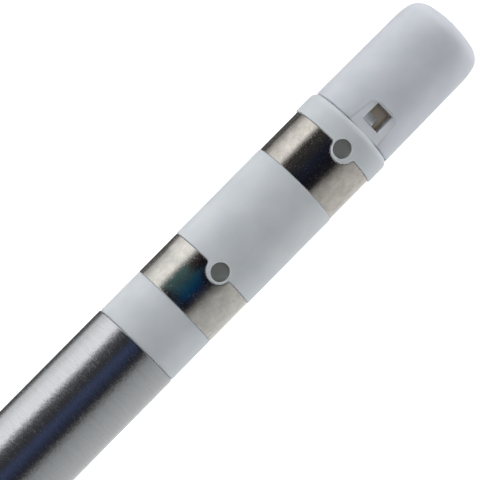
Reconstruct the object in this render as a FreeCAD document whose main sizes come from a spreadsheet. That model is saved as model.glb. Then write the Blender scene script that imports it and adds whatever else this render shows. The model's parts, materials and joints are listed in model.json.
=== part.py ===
import FreeCAD, Part
import math
import os
import re
import sys

import Sketcher
from FreeCAD import Placement, Rotation, Vector

# Soldering cartridge: a working bit with its heater and sensor inside, on a long
# stainless tube whose rear end carries two contact rings on a moulded connector.
#
# The axis of the cartridge is X. The origin is on the axis at the rear end of the tube:
# the connector stands behind it at positive x, the tube and the bit lie at negative x.
# The line of mould dimples on the connector faces +Z. All sizes are in millimetres.

# Each driving size: name, value, what it is
SIZES = [
    ("tube_length", 110.0, "shaft tube, end to end"),
    ("tube_radius", 2.75, "shaft tube, outside"),
    ("tube_wall", 0.3, "shaft tube, drawn stainless sheet"),
    ("spigot_length", 5.0, "connector body, part pressed into the tube"),
    ("collar_length", 3.0, "front collar between the tube and the front ring"),
    ("collar_radius", 2.72, "front collar"),
    ("ring_length", 2.95, "each contact ring"),
    ("ring_wall", 0.3, "each contact ring, drawn sheet"),
    ("front_ring_radius", 2.72, "front contact ring, outside"),
    ("rear_ring_radius", 2.71, "rear contact ring, outside"),
    ("spacer_length", 6.5, "insulating length between the rings"),
    ("spacer_radius", 2.75, "insulating length between the rings"),
    ("rear_collar_length", 1.5, "collar behind the rear ring"),
    ("rear_collar_radius", 2.8, "collar behind the rear ring"),
    ("rear_collar_break", 0.35, "broken rear edge of the rear collar"),
    ("rim_break", 0.06, "broken edge of the lugs and of the rims they stand on"),
    ("lug_radius", 0.77, "lug that keys a ring against turning"),
    ("lug_corner", 0.2, "round where a lug leaves its rim"),
    ("lug_offset", 0.04, "lug centre behind the ring's rear edge"),
    ("front_lug_side", 0.08, "front lug, beside the line of dimples"),
    ("rear_lug_side", 0.14, "rear lug, beside the line of dimples on the other side"),
    ("dimple_radius", 0.55, "core-pin dimple in each lug"),
    ("dimple_depth", 0.45, "core-pin dimple, below the lug's top"),
    ("stub_length", 2.6, "connector body, part inside the end cap"),
    ("cap_clearance", 0.03, "between the stub and the cap's bore"),
    ("cap_length", 8.0, "end cap, seam to crown"),
    ("cap_seam_radius", 2.66, "end cap at its mouth"),
    ("cap_end_radius", 2.61, "end cap where its straight side ends"),
    ("cap_end_length", 1.9, "end cap, from its straight side to the top of its crown"),
    ("cap_shoulder", 4.0, "end cap, slow curve from the side towards the crown"),
    ("cap_bore_radius", 2.05, "end cap, inside"),
    ("cap_roof", 0.8, "end cap, wall at its closed end"),
    ("crown_radius", 7.0, "end cap, sphere of the closed end"),
    ("cap_round", 1.0, "end cap, round between shoulder and crown"),
    ("cap_turn", 6.0, "end cap, turned on the connector, degrees"),
    ("flat_height", 2.43, "flat in the cap, from the axis"),
    ("flat_length", 1.86, "flat in the cap, from the seam"),
    ("flat_half_width", 1.2, "flat in the cap, to its rounded corners"),
    ("flat_corner", 0.9, "flat in the cap, corner radius"),
    ("window_start", 0.52, "latch window, from the seam"),
    ("window_length", 1.22, "latch window, along the axis"),
    ("window_width", 1.22, "latch window, across"),
    ("latch_width", 0.66, "latch finger"),
    ("latch_thickness", 0.6, "latch finger, below its hook"),
    ("latch_ramp", 0.56, "latch hook, along its ramp"),
    ("latch_clearance", 0.03, "latch hook to the window and the flat"),
    ("latch_slot_width", 1.56, "slot round the latch finger"),
    ("latch_slot_floor", 1.1, "slot round the latch finger, from the axis"),
    ("tail_width", 1.0, "ring tail"),
    ("tail_thickness", 0.25, "ring tail"),
    ("tail_root", 0.4, "ring tail, length under its ring"),
    ("tail_bite", 0.06, "ring tail, depth joined into its ring"),
    ("tail_mitre", 0.08, "outer corner of a tail's bend, behind the inner one"),
    ("tail_height", 1.45, "inner face of a ring tail, from the axis"),
    ("tail_step", 0.8, "each bend of a ring tail, along the axis"),
    ("tail_reach", 2.0, "ring tail, past the stub"),
    ("lead_radius", 0.2, "lead wire"),
    ("lead_offset", 0.55, "each lead wire, from the axis"),
    ("lead_reach", 2.2, "lead wire, past the stub"),
    ("sleeve_wall", 0.16, "insulating sleeve"),
    ("sleeve_clearance", 0.02, "round a lead in its sleeve or its bore"),
    ("solder_length", 1.0, "each soldered joint, along its lead"),
    ("solder_radius", 0.4, "soldered joint, about its lead"),
    ("solder_film", 0.06, "solder between a lead and its ring tail"),
    ("bit_reach", 15.5, "bit, ahead of the tube"),
    ("bit_radius", 2.3, "bit, straight part ahead of the tube"),
    ("bit_cone_length", 8.5, "bit, tapered part"),
    ("bit_tip_radius", 0.5, "bit, end of the taper"),
    ("bit_tip_break", 0.3, "bit, broken edge at its very end"),
    ("flange_length", 1.0, "bit, flange that stops the tube"),
    ("flange_radius", 2.58, "bit, flange that stops the tube"),
    ("shank_length", 8.0, "bit, shank pressed into the tube"),
    ("heater_bore_radius", 1.6, "blind bore for the heater in the bit"),
    ("heater_bore_reach", 6.0, "blind bore, ahead of the tube's end"),
    ("heater_fit", 0.02, "between ceramic parts of the heater"),
    ("former_radius", 0.92, "ceramic former that carries the coil"),
    ("former_length", 10.5, "ceramic former that carries the coil"),
    ("former_setback", 0.9, "former behind the bottom of the bore"),
    ("ribbon_width", 0.5, "heater coil, ribbon along the axis"),
    ("ribbon_thickness", 0.14, "heater coil, ribbon across"),
    ("coil_turns", 7.5, "heater coil, turns"),
    ("coil_overhang", 0.3, "heater coil, past each end of its former"),
    ("liner_wall", 0.28, "ceramic liner between coil and bit"),
    ("front_cement_length", 0.3, "cement at the bottom of the bore"),
    ("rear_cement_length", 1.2, "cement in the mouth of the bore"),
    ("insulator_length", 20.0, "two-bore ceramic behind the bit"),
    ("insulator_radius", 1.5, "two-bore ceramic behind the bit"),
]
ALIASES = {name for name, value, meaning in SIZES}
NEAR = 1e-3  # an edge this close to a place is the one that is meant there

doc = FreeCAD.newDocument("soldering_cartridge")


def fill_sheet():
    sheet = doc.addObject("Spreadsheet::Sheet", "Sizes")
    for row, (name, value, meaning) in enumerate(SIZES, start=1):
        sheet.set(f"A{row}", name)
        sheet.set(f"B{row}", str(value))
        sheet.setAlias(f"B{row}", name)
        sheet.set(f"C{row}", meaning)
    doc.recompute()


def formula(text):
    """A formula written with the plain size names, as the sheet's own names."""
    return re.sub(
        r"[a-z_]+",
        lambda word: "Sizes." + word.group() if word.group() in ALIASES else word.group(),
        text,
    )


def bind(item, name, text):
    item.setExpression(name, formula(text))


# Stations along the axis, worked out from the lengths in front of them
front_ring_start = "collar_length"
front_ring_end = f"({front_ring_start} + ring_length)"
rear_ring_start = f"({front_ring_end} + spacer_length)"
rear_ring_end = f"({rear_ring_start} + ring_length)"
seam = f"({rear_ring_end} + rear_collar_length)"
stub_end = f"({seam} + stub_length)"
tube_front = "(0 - tube_length)"
bit_tip = f"({tube_front} - bit_reach)"
bit_rear = f"({tube_front} + shank_length)"
bore_bottom = f"({tube_front} - heater_bore_reach)"
front_cement_end = f"({bore_bottom} + front_cement_length)"
former_front = f"({bore_bottom} + former_setback)"
former_rear = f"({former_front} + former_length)"
rear_cement_start = f"({bit_rear} - rear_cement_length)"
insulator_rear = f"({bit_rear} + insulator_length)"
solder_middle = f"({stub_end} + (lug_corner + tail_step + tail_reach) / 2)"

# Radii and heights that follow from the fits
tube_bore = "(tube_radius - tube_wall)"
front_seat = "(front_ring_radius - ring_wall)"
rear_seat = "(rear_ring_radius - ring_wall)"
stub_radius = "(cap_bore_radius - cap_clearance)"
latch_top = f"sqrt({stub_radius} ^ 2 - (latch_width / 2) ^ 2)"
lead_bore = "(lead_radius + sleeve_clearance)"
sleeve_radius = f"({lead_bore} + sleeve_wall)"
lead_face = "(lead_offset + lead_radius + solder_film)"
coil_inner = "(former_radius + heater_fit)"
coil_outer = f"({coil_inner} + ribbon_thickness)"
liner_radius = "(heater_bore_radius - heater_fit)"
crown_centre = "(cap_length - crown_radius)"
cap_side_end = "(cap_length - cap_end_length)"


def origin_plane(body, role):
    return next(item for item in body.Origin.OriginFeatures if item.Role == role)


def draw_outline(sketch, corners):
    """A closed outline of straight runs, each corner held at its own two formulas."""
    count = len(corners)
    values = [[evaluate(text) for text in corner] for corner in corners]
    for index in range(count):
        here = Vector(*values[index], 0)
        there = Vector(*values[(index + 1) % count], 0)
        sketch.addGeometry(Part.LineSegment(here, there), False)
    for index in range(count):
        sketch.addConstraint(
            Sketcher.Constraint("Coincident", index, 2, (index + 1) % count, 1)
        )
    for index, corner in enumerate(corners):
        hold_point(sketch, index, 1, corner)


def hold_point(sketch, edge, end, place):
    """Ties one point of a sketch to a formula along each sketch axis."""
    for kind, text in zip(("DistanceX", "DistanceY"), place):
        number = sketch.addConstraint(
            Sketcher.Constraint(kind, -1, 1, edge, end, evaluate(text))
        )
        bind(sketch, f"Constraints[{number}]", text)


def evaluate(text):
    """The present value of a formula, used to draw a sketch near its solved form."""
    return float(doc.getObject("Sizes").evalExpression(formula(text)))


def new_body(label):
    body = doc.addObject("PartDesign::Body", label)
    body.Label = label
    return body


def new_sketch(body, name, role):
    sketch = body.newObject("Sketcher::SketchObject", name)
    sketch.AttachmentSupport = (origin_plane(body, role), [""])
    sketch.MapMode = "FlatFace"
    return sketch


def turned(label, corners):
    """A turned or moulded round piece: its half section, swept about the axis."""
    body = new_body(label)
    sketch = new_sketch(body, label + "_section", "XZ_Plane")
    draw_outline(sketch, corners)
    revolve(body, sketch, label)
    return body


def revolve(body, sketch, label):
    turn = body.newObject("PartDesign::Revolution", label + "_turn")
    turn.Profile = sketch
    turn.ReferenceAxis = (sketch, ["H_Axis"])
    turn.Angle = 360
    sketch.Visibility = False
    doc.recompute()


def finish_edges(body, kind, name, size, chosen):
    """Rounds or breaks the edges of a body that a test on the edge picks out."""
    base = body.Tip
    names = [
        f"Edge{index}"
        for index, edge in enumerate(base.Shape.Edges, start=1)
        if chosen(edge)
    ]
    finish = body.newObject(f"PartDesign::{kind}", f"{body.Label}_{kind.lower()}")
    finish.Base = (base, names)
    bind(finish, name, size)
    doc.recompute()


def circle_at(x_text, radius_text):
    """A test for the circular edge about the axis at one station and radius."""
    x, radius = evaluate(x_text), evaluate(radius_text)

    def chosen(edge):
        box = edge.BoundBox
        flat = box.XLength < NEAR
        return flat and abs(box.XMin - x) < NEAR and abs(box.ZMax - radius) < NEAR

    return chosen


def rod(label, radius, start, length, offset="0"):
    """A cylinder along the axis, from a station and over a length."""
    piece = doc.addObject("Part::Cylinder", label)
    piece.Placement = Placement(Vector(), Rotation(Vector(0, 1, 0), 90))
    bind(piece, "Radius", radius)
    bind(piece, "Height", length)
    bind(piece, "Placement.Base.x", start)
    bind(piece, "Placement.Base.y", offset)
    return piece


def block(label, size, corner):
    """A box, its three sizes and its low corner given as formulas."""
    piece = doc.addObject("Part::Box", label)
    for name, text in zip(("Length", "Width", "Height"), size):
        bind(piece, name, text)
    for name, text in zip("xyz", corner):
        bind(piece, f"Placement.Base.{name}", text)
    return piece


def cut(label, base, *tools):
    for index, tool in enumerate(tools, start=1):
        last = index == len(tools)
        result = doc.addObject("Part::Cut", label if last else f"{label}_cut_{index}")
        result.Base = base
        result.Tool = tool
        base = result
    doc.recompute()
    return base


def fuse(label, *shapes):
    result = doc.addObject("Part::MultiFuse", label)
    result.Shapes = list(shapes)
    doc.recompute()
    return result


def prism(label, corners, depth):
    """An outline in the XY plane, given its depth evenly to both sides."""
    sketch = doc.addObject("Sketcher::SketchObject", label + "_outline")
    draw_outline(sketch, corners)
    return raise_sketch(label, sketch, depth)


def raise_sketch(label, sketch, depth):
    solid = doc.addObject("Part::Extrusion", label)
    solid.Base = sketch
    solid.DirMode = "Custom"
    solid.Dir = Vector(0, 0, 1)
    solid.Solid = True
    solid.Symmetric = True
    bind(solid, "LengthFwd", depth)
    sketch.Visibility = False
    doc.recompute()
    return solid


def lug_post(label, ring_end, beside):
    """The lug's plan outline as a tall post: a circle that flows into the ring's straight edge."""
    radius = evaluate("lug_radius")
    corner = evaluate("lug_corner")
    offset = evaluate("lug_offset")
    spread = math.sqrt((radius + corner) ** 2 - (offset + corner) ** 2)
    meet = radius / (radius + corner)
    touch = Vector(offset - (offset + corner) * meet, spread * meet, 0)
    lean = math.atan2(touch.y, touch.x - offset)
    sketch = doc.addObject("Sketcher::SketchObject", label + "_outline")
    upright = Vector(0, 0, 1)
    main = Part.Circle(Vector(offset, 0, 0), upright, radius)
    upper = Part.Circle(Vector(-corner, spread, 0), upright, corner)
    lower = Part.Circle(Vector(-corner, -spread, 0), upright, corner)
    inward = lean - math.pi
    sketch.addGeometry(Part.LineSegment(Vector(0, -spread, 0), Vector(0, spread, 0)), False)
    sketch.addGeometry(Part.ArcOfCircle(upper, inward, 0), False)
    sketch.addGeometry(Part.ArcOfCircle(main, lean, 2 * math.pi - lean), False)
    sketch.addGeometry(Part.ArcOfCircle(lower, 0, -inward), False)
    line, top, middle, bottom = range(4)
    rules = [
        Sketcher.Constraint("Vertical", line),
        Sketcher.Constraint("PointOnObject", line, 1, -2),
        Sketcher.Constraint("Tangent", line, 2, top, 2),
        Sketcher.Constraint("Tangent", top, 1, middle, 1),
        Sketcher.Constraint("Tangent", middle, 2, bottom, 2),
        Sketcher.Constraint("Tangent", bottom, 1, line, 1),
        Sketcher.Constraint("PointOnObject", middle, 3, -1),
        Sketcher.Constraint("Equal", top, bottom),
    ]
    sketch.addConstraint(rules)
    for edge, name in ((middle, "lug_radius"), (top, "lug_corner")):
        number = sketch.addConstraint(Sketcher.Constraint("Radius", edge, evaluate(name)))
        bind(sketch, f"Constraints[{number}]", name)
    number = sketch.addConstraint(Sketcher.Constraint("DistanceX", -1, 1, middle, 3, offset))
    bind(sketch, f"Constraints[{number}]", "lug_offset")
    post = raise_sketch(label, sketch, "rear_collar_radius")
    for name, text in zip("xyz", (ring_end, beside, "rear_collar_radius")):
        bind(post, f"Placement.Base.{name}", text)
    return post


def contact_ring(label, start, end, radius, seat, post, side):
    """A drawn ring, notched for its lug, whose tail runs back under the cap."""
    outer = rod(label + "_outside", radius, start, "ring_length")
    inner = rod(label + "_inside", seat, start, "ring_length")
    band = cut(label + "_band", outer, inner, post)
    root = f"({end} - tail_root)"
    under = f"({seat} + tail_bite - tail_thickness)"
    first = f"({end} + lug_corner)"
    second = f"({stub_end} + lug_corner)"
    tail_end = f"({stub_end} + tail_reach)"
    inner_line = [
        (root, under),
        (first, under),
        (f"{first} + tail_step", "tail_height"),
        (second, "tail_height"),
        (f"{second} + tail_step", lead_face),
        (tail_end, lead_face),
    ]
    outer_line = [
        (x if x in (root, tail_end) else f"{x} + tail_mitre", f"{y} + tail_thickness")
        for x, y in reversed(inner_line)
    ]
    tail = prism(label + "_tail", inner_line + outer_line, "tail_width")
    if side == "-":
        tail.Placement = Placement(Vector(), Rotation(Vector(1, 0, 0), 180))
    return fuse(label, band, tail)


def seat_cutter(label, start, seat, post):
    """The room a ring takes on the moulding, with its lug left standing."""
    outer = rod(label + "_outside", "rear_collar_radius + ring_wall", start, "ring_length")
    inner = rod(label + "_inside", seat, start, "ring_length")
    return cut(label, outer, inner, post)


def latch_finger():
    """The finger that the cap snaps over: a beam with a ramped hook on its top."""
    foot = f"{seam} + window_start"
    beam = block(
        "latch_beam",
        ("window_start + latch_ramp + latch_clearance", "latch_width", "latch_thickness"),
        (seam, "0 - latch_width / 2", f"{latch_top} - latch_thickness"),
    )
    hook_face = f"{foot} + latch_clearance"
    sketch = doc.addObject("Sketcher::SketchObject", "latch_hook_outline")
    draw_outline(
        sketch,
        [
            (hook_face, f"{latch_top} - latch_clearance"),
            (hook_face + " + latch_ramp", f"{latch_top} - latch_clearance"),
            (hook_face, "flat_height - latch_clearance"),
        ],
    )
    sketch.Placement = Placement(Vector(), Rotation(Vector(1, 0, 0), 90))
    hook = doc.addObject("Part::Extrusion", "latch_hook")
    hook.Base = sketch
    hook.DirMode = "Custom"
    hook.Dir = Vector(0, 1, 0)
    hook.Solid = True
    hook.Symmetric = True
    bind(hook, "LengthFwd", "latch_width")
    return fuse("latch", beam, hook)


def connector_body(front_ring, rear_ring, front_post, rear_post):
    """The moulding that holds both rings: collars, spacer, lugs, spigot, stub and latch."""
    blank = turned(
        "moulding_blank",
        [
            ("0 - spigot_length", "0"),
            ("0 - spigot_length", tube_bore),
            ("0", tube_bore),
            ("0", "collar_radius"),
            (front_ring_start, "collar_radius"),
            (front_ring_start, "spacer_radius"),
            (rear_ring_start, "spacer_radius"),
            (rear_ring_start, "rear_collar_radius"),
            (seam, "rear_collar_radius"),
            (seam, stub_radius),
            (stub_end, stub_radius),
            (stub_end, "0"),
        ],
    )
    finish_edges(
        blank, "Chamfer", "Size", "rear_collar_break", circle_at(seam, "rear_collar_radius")
    )
    seated = cut(
        "moulding_seated",
        blank,
        seat_cutter("front_seat", front_ring_start, front_seat, front_post),
        seat_cutter("rear_seat", rear_ring_start, rear_seat, rear_post),
    )
    rims = doc.addObject("Part::Chamfer", "moulding_rims")
    rims.Base = seated
    width = evaluate("rim_break")
    rims.Edges = [
        (index, width, width)
        for index, edge in enumerate(seated.Shape.Edges, start=1)
        if on_rim(edge)
    ]
    doc.recompute()
    dimples = [
        dimple("front_dimple", front_ring_end, "spacer_radius"),
        dimple("rear_dimple", rear_ring_end, "rear_collar_radius"),
    ]
    bores = [
        rod(
            f"lead_bore_{side}",
            f"{sleeve_radius} + sleeve_clearance",
            "0 - spigot_length",
            f"{stub_end} + spigot_length",
            f"{sign} lead_offset",
        )
        for side, sign in (("heater", "0 +"), ("sensor", "0 -"))
    ]
    slot = block(
        "latch_slot",
        ("stub_length", "latch_slot_width", stub_radius),
        (f"{seam} + window_start", "0 - latch_slot_width / 2", "latch_slot_floor"),
    )
    opened = cut("moulding_opened", rims, *dimples, *bores, slot)
    latched = fuse("moulding_latched", opened, latch_finger())
    return cut("connector_body", latched, front_ring, rear_ring)


def on_rim(edge):
    """The two rims that look over the rear edge of a ring, each with its lug."""
    box = edge.BoundBox
    stations = [
        (front_ring_end, "spacer_radius"),
        (rear_ring_end, "rear_collar_radius"),
    ]
    reach = evaluate("lug_radius + lug_corner")
    for station, radius in stations:
        x, r = evaluate(station), evaluate(radius)
        near = x - reach - NEAR < box.XMin and box.XMax < x + NEAR
        points = [edge.valueAt(value) for value in edge.ParameterRange]
        points.append(edge.valueAt(sum(edge.ParameterRange) / 2))
        if near and all(abs(math.hypot(p.y, p.z) - r) < NEAR for p in points):
            return True
    return False


def dimple(label, ring_end, top):
    piece = doc.addObject("Part::Cylinder", label)
    bind(piece, "Radius", "dimple_radius")
    bind(piece, "Height", "dimple_depth + ring_wall")
    bind(piece, "Placement.Base.x", ring_end)
    bind(piece, "Placement.Base.z", f"{top} - dimple_depth")
    return piece


def cap_outline(sketch):
    """Half section of the cap: drafted side, slow shoulder, crown, and the bore inside."""
    centre = Vector(evaluate(crown_centre), 0, 0)
    crown = Part.Circle(centre, Vector(0, 0, 1), evaluate("crown_radius"))
    shoulder_centre = Vector(evaluate(cap_side_end), evaluate("cap_end_radius - cap_shoulder"), 0)
    shoulder = Part.Circle(shoulder_centre, Vector(0, 0, 1), evaluate("cap_shoulder"))
    meeting = max(
        (Vector(point.X, point.Y, 0) for point in crown.intersect(shoulder)),
        key=lambda point: point.y,
    )
    corners = {
        "mouth_inside": ("0", "cap_bore_radius"),
        "mouth_outside": ("0", "cap_seam_radius"),
        "side_end": (cap_side_end, "cap_end_radius"),
        "crown_top": ("cap_length", "0"),
        "roof_middle": ("cap_length - cap_roof", "0"),
        "roof_edge": ("cap_length - cap_roof", "cap_bore_radius"),
    }
    at = {name: Vector(evaluate(x), evaluate(r), 0) for name, (x, r) in corners.items()}
    out = meeting - shoulder_centre
    lean = meeting - centre
    shapes = [
        Part.LineSegment(at["mouth_inside"], at["mouth_outside"]),
        Part.LineSegment(at["mouth_outside"], at["side_end"]),
        Part.ArcOfCircle(shoulder, math.atan2(out.y, out.x), math.pi / 2),
        Part.ArcOfCircle(crown, 0, math.atan2(lean.y, lean.x)),
        Part.LineSegment(at["crown_top"], at["roof_middle"]),
        Part.LineSegment(at["roof_middle"], at["roof_edge"]),
        Part.LineSegment(at["roof_edge"], at["mouth_inside"]),
    ]
    for shape in shapes:
        sketch.addGeometry(shape, False)
    mouth, side, shoulder_arc, crown_arc, middle, roof, bore = range(len(shapes))
    sketch.addConstraint([
        Sketcher.Constraint("Coincident", mouth, 2, side, 1),
        Sketcher.Constraint("Tangent", side, 2, shoulder_arc, 2),
        Sketcher.Constraint("Coincident", shoulder_arc, 1, crown_arc, 2),
        Sketcher.Constraint("Coincident", crown_arc, 1, middle, 1),
        Sketcher.Constraint("Coincident", middle, 2, roof, 1),
        Sketcher.Constraint("Coincident", roof, 2, bore, 1),
        Sketcher.Constraint("Coincident", bore, 2, mouth, 1),
    ])
    number = sketch.addConstraint(
        Sketcher.Constraint("Radius", shoulder_arc, evaluate("cap_shoulder"))
    )
    bind(sketch, f"Constraints[{number}]", "cap_shoulder")
    hold_point(sketch, crown_arc, 3, (crown_centre, "0"))
    for edge, name in (
        (mouth, "mouth_inside"),
        (side, "mouth_outside"),
        (middle, "crown_top"),
        (roof, "roof_middle"),
        (bore, "roof_edge"),
    ):
        hold_point(sketch, edge, 1, corners[name])
    hold_point(sketch, side, 2, corners["side_end"])


def shoulder_edge(edge):
    """The circle where the cap's shoulder and crown meet."""
    box = edge.BoundBox
    outside = box.ZMax > evaluate("cap_bore_radius") + NEAR
    return box.XLength < NEAR and box.XMin > evaluate(cap_side_end) + NEAR and outside


def inner_upright(edge):
    """The two upright edges of the flat's cutter that end inside the cap."""
    box = edge.BoundBox
    return box.XMin > 0 and box.XLength < NEAR and box.YLength < NEAR


def end_cap():
    """The clip-on cap: drafted side, crowned end, flat with a latch window."""
    body = new_body("cap_shell")
    sketch = new_sketch(body, "cap_section", "XZ_Plane")
    cap_outline(sketch)
    revolve(body, sketch, "cap")
    finish_edges(body, "Fillet", "Radius", "cap_round", shoulder_edge)
    flat = block(
        "cap_flat_block",
        ("flat_length * 2", "flat_half_width * 2", "cap_seam_radius"),
        ("0 - flat_length", "0 - flat_half_width", "flat_height"),
    )
    rounded = doc.addObject("Part::Fillet", "cap_flat")
    rounded.Base = flat
    doc.recompute()
    radius = evaluate("flat_corner")
    rounded.Edges = [
        (index, radius, radius)
        for index, edge in enumerate(flat.Shape.Edges, start=1)
        if inner_upright(edge)
    ]
    window = block(
        "cap_window",
        ("window_length", "window_width", "cap_seam_radius"),
        ("window_start", "0 - window_width / 2", "0"),
    )
    cap = cut("end_cap", body, rounded, window)
    cap.Placement = Placement(Vector(), Rotation(Vector(1, 0, 0), evaluate("cap_turn")))
    bind(cap, "Placement.Rotation.Angle", "cap_turn")
    bind(cap, "Placement.Base.x", seam)
    return cap


def lead(label, start, side):
    reach = f"{stub_end} + lead_reach - ({start})"
    return rod(label, "lead_radius", start, reach, f"0 {side} lead_offset")


def lead_sleeve(label, side):
    start = insulator_rear
    length = f"{stub_end} - ({start})"
    offset = f"0 {side} lead_offset"
    outside = rod(label + "_outside", sleeve_radius, start, length, offset)
    inside = rod(label + "_inside", lead_bore, start, length, offset)
    return cut(label, outside, inside)


def solder_joint(label, wire, side):
    """Solder round a lead, up against the inner face of its ring's tail."""
    collar = rod(
        label + "_collar", "solder_radius", f"{solder_middle} - solder_length / 2",
        "solder_length", f"0 {side} lead_offset",
    )
    low_side = lead_face if side == "+" else f"0 - {lead_face} - solder_radius"
    tail_side = block(
        label + "_tail_side",
        ("solder_length", "solder_radius", "solder_radius * 2"),
        (f"{solder_middle} - solder_length / 2", low_side, "0 - solder_radius"),
    )
    return cut(label, collar, wire, tail_side)


def bit():
    body = turned(
        "bit",
        [
            (bit_tip, "0"),
            (bit_tip, "bit_tip_radius"),
            (f"{bit_tip} + bit_cone_length", "bit_radius"),
            (f"{tube_front} - flange_length", "bit_radius"),
            (f"{tube_front} - flange_length", "flange_radius"),
            (tube_front, "flange_radius"),
            (tube_front, tube_bore),
            (bit_rear, tube_bore),
            (bit_rear, "heater_bore_radius"),
            (bore_bottom, "heater_bore_radius"),
            (bore_bottom, "0"),
        ],
    )
    finish_edges(body, "Chamfer", "Size", "bit_tip_break", circle_at(bit_tip, "bit_tip_radius"))
    return body


def heater_coil():
    """The heating ribbon wound on its former, one end on each side of the axis."""
    body = new_body("heater_coil")
    sketch = new_sketch(body, "ribbon_section", "XY_Plane")
    draw_outline(
        sketch,
        [
            ("0 - ribbon_width / 2", coil_inner),
            ("ribbon_width / 2", coil_inner),
            ("ribbon_width / 2", coil_outer),
            ("0 - ribbon_width / 2", coil_outer),
        ],
    )
    helix = body.newObject("PartDesign::AdditiveHelix", "ribbon_turns")
    helix.Profile = sketch
    helix.ReferenceAxis = (sketch, ["H_Axis"])
    helix.Mode = "height-turns-angle"
    bind(helix, "Height", "former_length + 2 * coil_overhang")
    bind(helix, "Turns", "coil_turns")
    sketch.Visibility = False
    body.Placement = Placement(Vector(), Rotation(Vector(1, 0, 0), 180))
    bind(body, "Placement.Base.x", f"{former_front} - coil_overhang")
    doc.recompute()
    return body


def bored(label, radius, start, length, bore_radius):
    """A round ceramic piece with a bore for each lead."""
    outside = rod(label + "_outside", radius, start, length)
    bores = [
        rod(f"{label}_bore_{side}", bore_radius, start, length, f"{sign} lead_offset")
        for side, sign in (("heater", "0 +"), ("sensor", "0 -"))
    ]
    return cut(label, outside, *bores)


def weld_bead(label, station, side, wire):
    """Half a drop of metal that bridges from a lead to the cut end of the coil beside it."""
    bead = doc.addObject("Part::Cylinder", label + "_drop")
    bead.Placement = Placement(Vector(), Rotation(Vector(1, 0, 0), 90))
    bead.Angle = 180
    bind(bead, "Radius", "ribbon_width / 2")
    bind(bead, "Height", f"{coil_outer} - lead_offset")
    bind(bead, "Placement.Base.x", station)
    bind(bead, "Placement.Base.y", coil_outer if side == "+" else "0 - lead_offset")
    return cut(label, bead, wire)


def build():
    fill_sheet()
    tube = turned(
        "shaft_tube",
        [
            (tube_front, tube_bore),
            (tube_front, "tube_radius"),
            ("0", "tube_radius"),
            ("0", tube_bore),
        ],
    )
    front_post = lug_post("front_lug_post", front_ring_end, "front_lug_side")
    rear_post = lug_post("rear_lug_post", rear_ring_end, "0 - rear_lug_side")
    front_ring = contact_ring(
        "front_contact_ring", front_ring_start, front_ring_end,
        "front_ring_radius", front_seat, front_post, "+",
    )
    rear_ring = contact_ring(
        "rear_contact_ring", rear_ring_start, rear_ring_end,
        "rear_ring_radius", rear_seat, rear_post, "-",
    )
    moulding = connector_body(front_ring, rear_ring, front_post, rear_post)
    cap = end_cap()
    heater_lead = lead("heater_lead", f"{former_rear} - coil_overhang", "+")
    sensor_lead = lead("sensor_lead", front_cement_end, "-")
    pieces = [
        tube,
        front_ring,
        rear_ring,
        moulding,
        cap,
        bit(),
        heater_lead,
        sensor_lead,
        heater_coil(),
        lead_sleeve("heater_lead_sleeve", "+"),
        lead_sleeve("sensor_lead_sleeve", "-"),
        solder_joint("front_ring_joint", heater_lead, "+"),
        solder_joint("rear_ring_joint", sensor_lead, "-"),
        bored("coil_former", "former_radius", former_front, "former_length", lead_bore),
        bored("lead_insulator", "insulator_radius", bit_rear, "insulator_length", lead_bore),
        bored(
            "rear_cement", "heater_bore_radius", rear_cement_start,
            "rear_cement_length", "lead_radius",
        ),
        rod("front_cement", "heater_bore_radius", bore_bottom, "front_cement_length"),
        weld_bead("coil_weld", f"{former_rear} + coil_overhang", "+", heater_lead),
        weld_bead("sensor_junction", f"{former_front} - coil_overhang", "-", sensor_lead),
        liner(),
    ]
    return pieces


def liner():
    start = front_cement_end
    length = f"{rear_cement_start} - {front_cement_end}"
    outside = rod("heater_liner_outside", liner_radius, start, length)
    inside = rod("heater_liner_inside", f"{liner_radius} - liner_wall", start, length)
    return cut("heater_liner", outside, inside)


def check_and_write(pieces):
    doc.recompute()
    failed = [
        item.Name for item in doc.Objects if "Invalid" in item.State or "Error" in item.State
    ]
    if failed:
        sys.exit(f"these objects did not build: {failed}")
    for piece in pieces:
        shape = piece.Shape
        if shape.isNull() or not shape.isValid() or len(shape.Solids) != 1:
            sys.exit(f"{piece.Label} is not one sound solid")
    os.makedirs("parts", exist_ok=True)
    for piece in pieces:
        piece.Shape.exportStep(f"parts/{piece.Label}.step")
        print(f"{piece.Label}: {piece.Shape.Volume:.3f} mm3")


check_and_write(build())
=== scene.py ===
import json
import math

import bmesh
import bpy
from mathutils import Matrix, Vector


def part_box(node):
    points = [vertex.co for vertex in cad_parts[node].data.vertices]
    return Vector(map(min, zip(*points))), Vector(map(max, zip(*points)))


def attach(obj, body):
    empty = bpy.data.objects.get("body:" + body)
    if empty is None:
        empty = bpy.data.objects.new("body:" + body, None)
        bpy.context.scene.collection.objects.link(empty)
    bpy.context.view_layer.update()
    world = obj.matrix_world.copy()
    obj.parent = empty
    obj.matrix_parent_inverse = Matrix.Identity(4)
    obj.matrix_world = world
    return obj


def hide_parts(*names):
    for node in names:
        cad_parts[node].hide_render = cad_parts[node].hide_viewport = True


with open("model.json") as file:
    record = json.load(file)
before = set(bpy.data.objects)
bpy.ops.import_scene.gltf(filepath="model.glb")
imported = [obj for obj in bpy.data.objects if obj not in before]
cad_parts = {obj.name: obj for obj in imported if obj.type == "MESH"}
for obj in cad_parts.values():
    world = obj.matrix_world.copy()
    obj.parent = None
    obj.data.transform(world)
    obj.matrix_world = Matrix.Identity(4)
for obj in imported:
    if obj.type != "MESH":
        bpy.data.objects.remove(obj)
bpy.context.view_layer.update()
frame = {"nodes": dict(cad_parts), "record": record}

# Soldering cartridge, dressed for a studio picture of its connector end.
# Shapes are worked out in millimetres along X and made metres as each piece is finished.
mm = 0.001
exact, touching, close = 1e-6, 1e-5, 1e-4  # mm, how near is on the axis or a cut, one point, or on a line
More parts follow.
